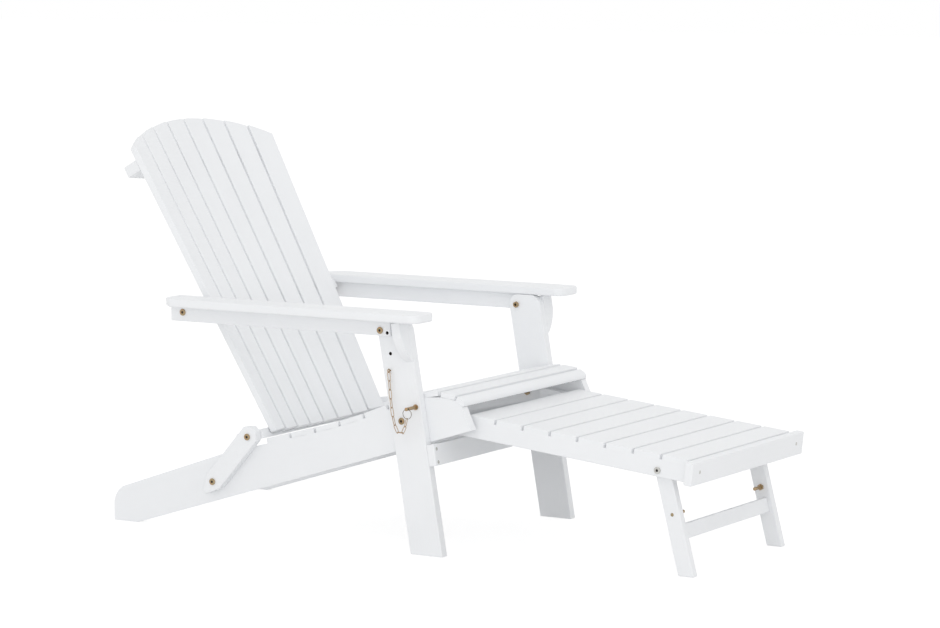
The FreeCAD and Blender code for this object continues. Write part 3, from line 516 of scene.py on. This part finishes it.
@dataclass
class Boards:
    """Boards copied from the frame, eased along their edges and painted."""

    shop: Workshop
    ease: float = 0.0022
    ease_segments: int = 3
    facing: float = 0.7
    wall_facing: float = 0.5
    offset_span: float = 4.0

    def _axes(self, shape: bmesh.types.BMesh, grain: Grain) -> Matrix:
        """Axes of a board: along the grain, across it, and through its thickness."""
        along = Vector((0, 1, 0))
        if grain is Grain.LONGEST_EDGE:
            bent = [edge for edge in shape.edges if edge.calc_face_angle(0.0) > SHARP]
            longest = max(bent, key=lambda edge: edge.calc_length())
            along = (longest.verts[1].co - longest.verts[0].co).normalized()
        broad = max(shape.faces, key=lambda face: face.calc_area() * (1 - abs(face.normal.dot(along))))
        thick = (broad.normal - along * broad.normal.dot(along)).normalized()
        return Matrix((along, thick.cross(along), thick))

    def _free(self, edge: bmesh.types.BMEdge, laid: bool, cover: float) -> bool:
        """Tell whether an edge shows, away from the boards above and below.

        Args:
            edge: Edge of the board.
            laid: Whether the board's lower side lies on other boards.
            cover: X from which slats cover the board's upper side.

        Returns:
            True for an edge that gets eased.
        """
        middle = (edge.verts[0].co + edge.verts[1].co) / 2
        under = laid and any(face.normal.z < -self.facing for face in edge.link_faces)
        above = middle.x > cover and any(face.normal.z > self.facing for face in edge.link_faces)
        return not under and not above

    def dress(self, node: str, grain: Grain = Grain.LONGEST_EDGE, ease: float | None = None,
              laid: bool = False, first_slat: str | None = None) -> bpy.types.Object:
        """Copy a board, ease its free edges, give it grain coordinates and paint it.

        Args:
            node: Node that the board stands for.
            grain: How the wood runs.
            ease: Width of the eased edge, the set's own if left out.
            laid: Whether its lower side lies on other boards.
            first_slat: Rearmost of the slats that lie on it, if any do.

        Returns:
            The painted board, riding on its node's body.
        """
        shape = self.shop.solid(node)
        bore = shape.faces.layers.float.new("bore")
        edge_mark = shape.faces.layers.float.new("edge")
        place = shape.verts.layers.float_vector.new("grain")
        axes = self._axes(shape, grain)
        walls = [face for face in shape.faces
                 if is_bore(face) and abs(face.normal.dot(axes[2])) < self.wall_facing]
        drilled = {edge for face in walls for edge in face.edges}
        floors = [face for face in shape.faces if drilled.issuperset(face.edges)]
        # Hole walls and hole floors are marked, and the paint turns them near black as painted shade.
        for face in walls + floors:
            face[bore] = 1.0
        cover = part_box(first_slat)[0].x if first_slat else math.inf
        sharp = [edge for edge in shape.edges
                 if edge not in drilled and edge.is_convex and edge.calc_face_angle(0.0) > SHARP
                 and self._free(edge, laid, cover)]
        eased = bmesh.ops.bevel(shape, geom=sharp, offset=ease or self.ease, offset_type="OFFSET",
                                segments=self.ease_segments, profile=0.5, affect="EDGES",
                                clamp_overlap=True, material=-1)
        for face in eased["faces"]:
            face[edge_mark] = 1.0
        draw = random.Random(node)
        shift = Vector([draw.uniform(-self.offset_span, self.offset_span) for _ in range(3)])
        for vert in shape.verts:
            vert[place] = axes @ vert.co + shift
        piece = self.shop.settle(shape, "painted_" + node, self.shop.finishes.paint, Slot.PAINT)
        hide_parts(node)
        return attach(piece, self.shop.body_of[node])


@dataclass
class SeatBase(Boards):
    """Side rails with the flat seat slats on them."""

    slats: int = 8

    def build(self) -> None:
        """Paint the rails and the slats."""
        for side in SIDES:
            self.dress("side_rail_" + side, first_slat="seat_slat_1")
        for index in range(self.slats):
            self.dress("seat_slat_%d" % (index + 1), Grain.ACROSS, laid=True)
        self.dress("seat_nose_slat", Grain.ACROSS, laid=True)


@dataclass
class FrontFrame(Boards):
    """Leaning front legs, their stretcher and the arm brackets."""

    def build(self) -> None:
        """Paint the boards."""
        for side in SIDES:
            self.dress("front_leg_" + side)
            self.dress("arm_bracket_" + side)
        self.dress("front_stretcher", Grain.ACROSS)


@dataclass
class ArmFrame(Boards):
    """Flat arm boards on their rails."""

    arm_ease: float = 0.004

    def build(self) -> None:
        """Paint the boards."""
        for side in SIDES:
            self.dress("armrest_" + side, ease=self.arm_ease)
            self.dress("arm_rail_" + side)


@dataclass
class BackLinks(Boards):
    """Short links between the side rails and the back."""

    def build(self) -> None:
        """Paint the links."""
        for side in SIDES:
            self.dress("link_" + side)


@dataclass
class FanBack(Boards):
    """Tapered slats on a scooped curve, with three ribs behind them."""

    slats: int = 8
    ribs: tuple[str, ...] = ("bottom", "middle", "top")

    def build(self) -> None:
        """Paint the slats and the ribs."""
        for index in range(self.slats):
            self.dress("back_slat_%d" % (index + 1))
        for rib in self.ribs:
            self.dress("back_rib_" + rib, Grain.ACROSS)


@dataclass
class Footrest(Boards):
    """Slatted footrest with its rails, front board and legs."""

    slats: int = 8

    def build(self) -> None:
        """Paint the boards."""
        for side in SIDES:
            self.dress("footrest_rail_" + side, first_slat="footrest_slat_1")
            self.dress("footrest_leg_" + side)
        for index in range(self.slats):
            self.dress("footrest_slat_%d" % (index + 1), Grain.ACROSS, laid=True)
        self.dress("footrest_front_board", Grain.ACROSS)
        self.dress("footrest_leg_stretcher", Grain.ACROSS)


@dataclass
class Hardware:
    """Bolts, nuts, studs, screws and the guide rod."""

    shop: Workshop
    round_segments: int = 48
    rim_segments: int = 3
    cap_facing: float = 0.9
    head_radius: float = 0.008
    head_rise: float = 0.0026
    head_ease: float = 0.0011
    socket_share: float = 0.52
    socket_deep: float = 0.0019
    socket_taper: float = 0.02
    socket_sides: int = 6
    shank_radius: float = 0.004
    nut_across: float = 0.015
    nut_thick: float = 0.006
    nut_ease: float = 0.0008
    nut_sides: int = 6
    spacer_radius: float = 0.009
    stud_ease: float = 0.0009
    screw_radius: float = 0.0041
    screw_rise: float = 0.0004
    screw_segments: int = 24
    screw_sides: int = 4
    screw_spread: float = 0.015
    board_screw_height: float = 0.24

    def _barrel(self, shape: bmesh.types.BMesh, radius: float, low: float, high: float, ease: float,
                segments: int | None = None) -> bmesh.types.BMFace:
        """Add a round or many-sided barrel about Z with eased rims.

        Args:
            shape: Shape that it is added to.
            radius: Radius to its corners.
            low: Lower end.
            high: Upper end.
            ease: Width of the eased rims.
            segments: Number of sides, round if left out.

        Returns:
            The upper cap.
        """
        here = Matrix.Translation((0, 0, (low + high) / 2))
        made = bmesh.ops.create_cone(shape, cap_ends=True, segments=segments or self.round_segments,
                                     radius1=radius, radius2=radius, depth=high - low, matrix=here)
        near = {face for vert in made["verts"] for face in vert.link_faces}
        caps = {face for face in near if abs(face.normal.z) > self.cap_facing}
        rims = {edge for face in caps for edge in face.edges}
        bmesh.ops.bevel(shape, geom=list(rims), offset=ease, offset_type="OFFSET", segments=self.rim_segments,
                        profile=0.5, affect="EDGES", clamp_overlap=True, material=-1)
        shape.normal_update()
        return max(shape.faces,
                   key=lambda face: (face.calc_center_median().z * face.normal.z, face.calc_area()))

    def _socket(self, shape: bmesh.types.BMesh, cap: bmesh.types.BMFace, radius: float, sides: int,
                deep: float) -> None:
        """Sink a key socket with flat sides into a cap.

        Args:
            shape: Shape that holds the cap.
            cap: The cap, about Z.
            radius: Radius to the flats of the socket.
            sides: Number of flats.
            deep: Depth of the socket.
        """
        bore = shape.faces.layers.float["bore"]
        around = max(vert.co.xy.length for vert in cap.verts)
        bmesh.ops.inset_individual(shape, faces=[cap], thickness=around - radius, depth=0.0)
        flat = FULL_TURN / sides
        for vert in cap.verts:
            turn = math.atan2(vert.co.y, vert.co.x)
            reach = radius / math.cos((turn + flat / 2) % flat - flat / 2)
            vert.co.xy = (reach * math.cos(turn), reach * math.sin(turn))
        taper = radius * self.socket_taper
        walls = bmesh.ops.inset_individual(shape, faces=[cap], thickness=taper, depth=-deep)
        # The socket's walls and floor are marked, and the finishes turn them near black as painted shade.
        for face in walls["faces"] + [cap]:
            face[bore] = 1.0

    def _bolt(self, box: Box, spacer: bool, nut: bool) -> bmesh.types.BMesh:
        """Model one bolt along Z, its head seat at Z 0.

        Args:
            box: Box of the bolt's solid in the frame.
            spacer: Whether a round spacer stands in for the nut.
            nut: Whether a nut ends the bolt.

        Returns:
            The bolt's shape.
        """
        shape = blank()
        end = self.head_rise - (box[1].y - box[0].y)
        key = self.head_radius * self.socket_share / math.sqrt(2)
        cap = self._barrel(shape, self.head_radius, 0.0, self.head_rise, self.head_ease)
        self._socket(shape, cap, key, self.socket_sides, self.socket_deep)
        self._barrel(shape, self.shank_radius, end, 0.0, self.stud_ease)
        if spacer:
            self._barrel(shape, self.spacer_radius, end, end + self.spacer_long(box), self.stud_ease)
        elif nut:
            self._nut(shape, end)
        return shape

    def _nut(self, shape: bmesh.types.BMesh, low: float) -> None:
        """Add a nut about Z from its lower end."""
        self._barrel(shape, self.nut_across / 2, low, low + self.nut_thick, self.nut_ease, self.nut_sides)

    def spacer_long(self, box: Box) -> float:
        """Length of the spacer between an arm rail and the arm's inner edge."""
        _, inner, _ = side_of(box)
        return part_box("arm_rail_left")[0].y - inner

    def bolts(self, node: str, material: bpy.types.Material, spacer: bool = False, nut: bool = True) -> None:
        """Replace a node of like bolts by detailed ones.

        Args:
            node: Node of the bolts.
            material: Their finish.
            spacer: Whether spacers stand in for the nuts.
            nut: Whether nuts end the bolts.
        """
        whole = blank()
        for box in self.shop.boxes(node):
            sign, _, outer = side_of(box)
            seat = middle_at(box, sign * (outer - self.head_rise))
            self._place(whole, self._bolt(box, spacer, nut), seat, Vector((0, sign, 0)))
        self._keep(whole, "detailed_" + node, material, Slot.ZINC, self.shop.body_of[node], node)

    def _place(self, whole: bmesh.types.BMesh, shape: bmesh.types.BMesh, seat: Vector, axis: Vector) -> None:
        """Move a shape so that its Z points along an axis from a seat, and add it to a whole."""
        turn = axis.to_track_quat("Z", "Y").to_matrix().to_4x4()
        bmesh.ops.transform(shape, matrix=Matrix.Translation(seat) @ turn, verts=shape.verts)
        mesh = bpy.data.meshes.new("part")
        shape.to_mesh(mesh)
        shape.free()
        whole.from_mesh(mesh)
        bpy.data.meshes.remove(mesh)

    def _keep(self, whole: bmesh.types.BMesh, name: str, material: bpy.types.Material, slot: Slot, body: str,
              *nodes: str) -> bpy.types.Object:
        """Finish a whole, let it stand for nodes and ride on a body, and return it."""
        whole.normal_update()
        piece = self.shop.settle(whole, name, material, slot)
        if nodes:
            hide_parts(*nodes)
        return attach(piece, body)

    def studs(self) -> None:
        """Replace the studs of the footrest legs: a plain rod held by a nut."""
        node = "footrest_leg_studs"
        whole = blank()
        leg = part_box("footrest_leg_left")[0].y
        for box in self.shop.boxes(node):
            sign, inner, outer = side_of(box)
            shape = blank()
            self._barrel(shape, self.shank_radius, inner - outer, 0.0, self.stud_ease)
            self._nut(shape, leg - outer - self.nut_thick)
            self._place(whole, shape, middle_at(box, sign * outer), Vector((0, sign, 0)))
        zinc = self.shop.finishes.zinc
        self._keep(whole, "detailed_" + node, zinc, Slot.ZINC, self.shop.body_of[node], node)

    def screws(self, name: str, body: str, node: str, starts: list[Vector], aim: Vector) -> None:
        """Sink small screws where lines along an aim meet a board.

        Args:
            name: Name of the set.
            body: Body that they ride on.
            node: Board that they are driven into.
            starts: Points in front of the board, one for each screw.
            aim: Direction into the board.
        """
        shape = self.shop.solid(node)
        tree = BVHTree.FromBMesh(shape)
        whole = blank()
        for start in starts:
            spot, normal, _, _ = tree.ray_cast(start, aim)
            screw = blank()
            cap = self._barrel(screw, self.screw_radius, -self.screw_radius, self.screw_rise,
                               self.screw_rise / 2, self.screw_segments)
            key = self.screw_radius * self.socket_share
            self._socket(screw, cap, key, self.screw_sides, self.screw_radius / 2)
            self._place(whole, screw, spot, normal)
        shape.free()
        self._keep(whole, name, self.shop.finishes.pale_zinc, Slot.ZINC, body)

    def rod(self) -> None:
        """Dress the guide rod of the footrest as drawn steel with eased ends."""
        node = "footrest_guide_rod"
        low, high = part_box(node)
        whole, shape = blank(), blank()
        half = (high.y - low.y) / 2
        self._barrel(shape, (high.z - low.z) / 2, -half, half, self.stud_ease)
        self._place(whole, shape, (low + high) / 2, Vector((0, 1, 0)))
        self._keep(whole, "drawn_guide_rod", self.shop.finishes.rod, Slot.ROD, self.shop.body_of[node], node)

    def _board_screws(self) -> None:
        """Screw the front board to the ends of the footrest rails."""
        node = "footrest_front_board"
        low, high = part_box("footrest_rail_left")
        reach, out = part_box(node)[1].x + self.shank_radius, (low.y + high.y) / 2
        starts = [Vector((reach, sign * out, self.board_screw_height)) for sign in (-1, 1)]
        self.screws("front_board_screws", self.shop.body_of[node], node, starts, Vector((-1, 0, 0)))

    def _stretcher_screws(self) -> None:
        """Screw the front stretcher to the front edges of the legs, two screws an end."""
        node = "front_stretcher"
        low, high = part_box("front_leg_left")
        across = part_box(node)
        reach, out = across[1].x + self.shank_radius, (low.y + high.y) / 2
        middle = (across[0].z + across[1].z) / 2
        heights = (middle - self.screw_spread, middle + self.screw_spread)
        starts = [Vector((reach, sign * out, height)) for sign in (-1, 1) for height in heights]
        self.screws("stretcher_screws", self.shop.body_of[node], node, starts, Vector((-1, 0, 0)))

    def build(self) -> None:
        """Make all the hardware but the lock."""
        self._board_screws()
        self._stretcher_screws()
        self.bolts("base_bolts", self.shop.finishes.zinc)
        self.bolts("arm_front_bolts", self.shop.finishes.zinc)
        self.bolts("arm_rear_bolts", self.shop.finishes.zinc, spacer=True)
        self.bolts("link_top_bolts", self.shop.finishes.zinc, nut=False)
        self.bolts("footrest_leg_bolts", self.shop.finishes.pale_zinc)
        self.studs()
        self.rod()


@dataclass
class LockSet:
    """Lock pins with their split rings, and the chains from the rings to screw eyes on the legs."""

    shop: Workshop
    wire_segments: int = 12
    ring_turns: int = 2
    ring_steps: int = 96
    ring_wire: float = 0.00055
    eye_steps: int = 48
    eye_wire: float = 0.0011
    eye_stem: float = 0.0015
    pin_ease: float = 0.0004
    pin_segments: int = 2
    rounding: int = 2

    def _wire_ring(self, radius: float, wire: float, turns: int, pitch: float,
                   steps: int) -> bmesh.types.BMesh:
        """Wind a round wire about Z.

        Args:
            radius: Radius to the middle of the wire.
            wire: Radius of the wire.
            turns: Number of turns.
            pitch: Rise of each turn.
            steps: Steps of all turns together.

        Returns:
            The wound wire, closed where it has one turn.
        """
        shape = bmesh.new()
        stand = Matrix.Translation((radius, 0, 0)) @ Matrix.Rotation(math.pi / 2, 4, "X")
        bmesh.ops.create_circle(shape, segments=self.wire_segments, radius=wire, cap_ends=turns > 1,
                                matrix=stand)
        section = shape.verts[:] + shape.edges[:] + shape.faces[:]
        rise = turns * pitch / steps if turns > 1 else 0.0
        bmesh.ops.spin(shape, geom=section, cent=(0, 0, 0), axis=(0, 0, 1), dvec=(0, 0, rise),
                       angle=FULL_TURN * turns, steps=steps, use_merge=turns == 1)
        bmesh.ops.remove_doubles(shape, verts=shape.verts, dist=MERGE)
        bmesh.ops.recalc_face_normals(shape, faces=shape.faces)
        return shape

    def _stand(self, shape: bmesh.types.BMesh, middle: Vector, axis: Vector) -> None:
        """Move a shape so that its Z points along an axis at a middle."""
        turn = axis.to_track_quat("Z", "Y").to_matrix().to_4x4()
        bmesh.ops.transform(shape, matrix=Matrix.Translation(middle) @ turn, verts=shape.verts)

    def _pin(self, side: str) -> None:
        """Copy the lock pin, merged, with its edges eased."""
        node = "lock_pin_" + side
        shape = self.shop.solid(node)
        sharp = [edge for edge in shape.edges
                 if edge.is_convex and edge.calc_face_angle(0.0) > SHARP
                 and not any(map(is_bore, edge.link_faces))]
        bmesh.ops.bevel(shape, geom=sharp, offset=self.pin_ease, offset_type="OFFSET",
                        segments=self.pin_segments, profile=0.5, affect="EDGES",
                        clamp_overlap=True, material=-1)
        piece = self.shop.settle(shape, "plated_" + node, self.shop.finishes.zinc, Slot.ZINC)
        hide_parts(node)
        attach(piece, self.shop.body_of[node])

    def _ring(self, side: str) -> None:
        """Wind the split ring that hangs in the lock pin."""
        node = "pin_ring_" + side
        low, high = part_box(node)
        radius = (high.z - low.z) / 2 - 2 * self.ring_wire
        shape = self._wire_ring(radius, self.ring_wire, self.ring_turns, 2 * self.ring_wire, self.ring_steps)
        bmesh.ops.translate(shape, vec=(0, 0, -self.ring_wire * self.ring_turns / 2), verts=shape.verts)
        self._stand(shape, (low + high) / 2, Vector((0, 1, 0)))
        piece = self.shop.settle(shape, "split_ring_" + side, self.shop.finishes.ring, Slot.CHAIN)
        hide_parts(node)
        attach(piece, self.shop.body_of[node])

    def _eye(self, side: str, box: Box) -> Vector:
        """Bend the screw eye that holds the chain on the leg.

        Args:
            side: Side of the chair.
            box: Box of the eye's solid in the frame.

        Returns:
            The middle of the eye.
        """
        low, high = box
        sign, _, outer = side_of(box)
        half = (high.z - low.z) / 2
        long = high.y - low.y - 2 * half
        middle = middle_at(box, sign * (outer - half))
        shape = self._wire_ring(half - self.eye_wire, self.eye_wire, 1, 0.0, self.eye_steps)
        self._stand(shape, middle, Vector((1, 0, 0)))
        seat = middle - Vector((0, sign * (half + long / 2 - self.eye_wire), 0))
        turn = Matrix.Rotation(math.pi / 2, 4, "X")
        bmesh.ops.create_cone(shape, cap_ends=True, segments=self.wire_segments, radius1=self.eye_stem,
                              radius2=self.eye_stem, depth=long, matrix=Matrix.Translation(seat) @ turn)
        piece = self.shop.settle(shape, "screw_eye_" + side, self.shop.finishes.zinc, Slot.ZINC)
        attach(piece, self.shop.body_of["chain_" + side])
        return middle

    def _chain(self, side: str) -> None:
        """Round the wire of the chain's links and set its screw eye."""
        node, ring_node = "chain_" + side, "pin_ring_" + side
        shape = self.shop.solid(node)
        eye = max(islands(shape), key=lambda group: max(vert.co.z for vert in group))
        start = self._eye(side, box_of(eye))
        bmesh.ops.delete(shape, geom=eye, context="VERTS")
        links = self.shop.settle(shape, "links_of_" + node, self.shop.finishes.chain, Slot.CHAIN)
        links.modifiers.clear()
        smooth = links.modifiers.new("round_wire", "SUBSURF")
        smooth.levels = smooth.render_levels = self.rounding
        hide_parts(node)
        low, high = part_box(ring_node)
        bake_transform(links, self.shop.body_of[node], self.shop.body_of[ring_node],
                 start=start, end=(low + high) / 2)

    def build(self) -> None:
        """Make the lock of both sides."""
        for side in SIDES:
            self._pin(side)
            self._ring(side)
            self._chain(side)


@dataclass(frozen=True)
class Studio:
    """White floor and surroundings, soft lamps and the camera."""

    camera_place: tuple[float, float, float] = (4.316, -7.096, 1.477)
    camera_turn: tuple[float, float, float] = (83.43, 0.0, 31.02)
    lens: float = 135.27
    sensor: float = 36.0
    floor_half: float = 30.0
    floor_drop: float = 0.0008
    floor_albedo: float = 0.9
    shadow_share: float = 0.28
    glow_share: float = 0.84
    sky: float = 0.9
    key_power: float = 10.0
    key_size: float = 3.2
    key_place: tuple[float, float, float] = (1.6, -3.4, 4.2)
    fill_power: float = 75.0
    fill_size: float = 3.0
    fill_place: tuple[float, float, float] = (4.0, -6.8, 1.0)
    aim: tuple[float, float, float] = (0.0, 0.0, 0.4)

    def build(self) -> None:
        """Make the camera, the floor, the world and the lamps."""
        self._camera()
        self._floor()
        self._world()
        self._lamp("key", self.key_place, self.key_size, self.key_power)
        self._lamp("fill", self.fill_place, self.fill_size, self.fill_power)
        bpy.context.scene.view_settings.view_transform = "Standard"

    def _camera(self) -> None:
        """Stand the camera where the photograph was taken from."""
        data = bpy.data.cameras.new("photo_camera")
        data.lens = self.lens
        data.sensor_width = self.sensor
        camera = bpy.data.objects.new("photo_camera", data)
        camera.location = self.camera_place
        camera.rotation_euler = [math.radians(angle) for angle in self.camera_turn]
        bpy.context.scene.collection.objects.link(camera)
        bpy.context.scene.camera = camera

    def _seen(self, draw: Sketch) -> bpy.types.NodeSocket:
        """Socket that is 1 for rays that show the background and 0 for rays that light the object."""
        path = draw.add("LightPath").outputs
        direct = draw.sum(path["Is Camera Ray"], path["Is Glossy Ray"], "MAXIMUM")
        return draw.sum(direct, path["Is Transmission Ray"], "MAXIMUM")

    def _floor(self) -> None:
        """Lay a plain white floor that keeps a faint shadow."""
        shape = bmesh.new()
        bmesh.ops.create_grid(shape, x_segments=1, y_segments=1, size=self.floor_half)
        bmesh.ops.translate(shape, vec=(0, 0, -self.floor_drop), verts=shape.verts)
        mesh = bpy.data.meshes.new("studio_floor")
        shape.to_mesh(mesh)
        shape.free()
        floor = bpy.data.objects.new("studio_floor", mesh)
        bpy.context.scene.collection.objects.link(floor)
        material = bpy.data.materials.new("white_floor")
        material.use_nodes = True
        material.node_tree.nodes.clear()
        draw = Sketch(material.node_tree)
        paper = draw.add("BsdfDiffuse", Color=(self.floor_albedo,) * 3 + (1.0,))
        dim = draw.add("BsdfDiffuse", Color=(self.shadow_share,) * 3 + (1.0,))
        glow = draw.add("Emission", Strength=self.glow_share)
        shown = draw.add("AddShader")
        draw.join(dim.outputs["BSDF"], shown.inputs[0])
        draw.join(glow.outputs["Emission"], shown.inputs[1])
        choose = draw.add("MixShader")
        draw.join(self._seen(draw), choose.inputs["Fac"])
        draw.join(paper.outputs["BSDF"], choose.inputs[1])
        draw.join(shown.outputs["Shader"], choose.inputs[2])
        draw.join(choose.outputs["Shader"], draw.add("OutputMaterial").inputs["Surface"])
        mesh.materials.append(material)

    def _world(self) -> None:
        """Light the object softly from all round, in front of a white background."""
        world = bpy.data.worlds.new("white_studio")
        world.use_nodes = True
        world.node_tree.nodes.clear()
        draw = Sketch(world.node_tree)
        strength = draw.span(self._seen(draw), self.sky, 1.0)
        light = draw.add("Background", Color=(1.0, 1.0, 1.0, 1.0))
        draw.join(strength, light.inputs["Strength"])
        draw.join(light.outputs["Background"], draw.add("OutputWorld").inputs["Surface"])
        bpy.context.scene.world = world

    def _lamp(self, name: str, place: tuple[float, float, float], size: float, power: float) -> None:
        """Hang a soft square lamp that looks at the chair."""
        data = bpy.data.lights.new(name, "AREA")
        data.size = size
        data.energy = power
        lamp = bpy.data.objects.new(name, data)
        lamp.location = place
        lamp.rotation_euler = (Vector(self.aim) - Vector(place)).to_track_quat("-Z", "Y").to_euler()
        bpy.context.scene.collection.objects.link(lamp)


def main() -> None:
    """Load the frame, build every sub-assembly and report the pieces."""
    logging.basicConfig(level=logging.INFO, format="%(name)s: %(message)s")
    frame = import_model()
    Studio().build()
    shop = Workshop(frame, Finishes())
    for part in (SeatBase, FrontFrame, ArmFrame, BackLinks, FanBack, Footrest, Hardware, LockSet):
        part(shop).build()
    for name in shop.made:
        LOG.info("made %s", name)


if __name__ == "__main__":
    main()
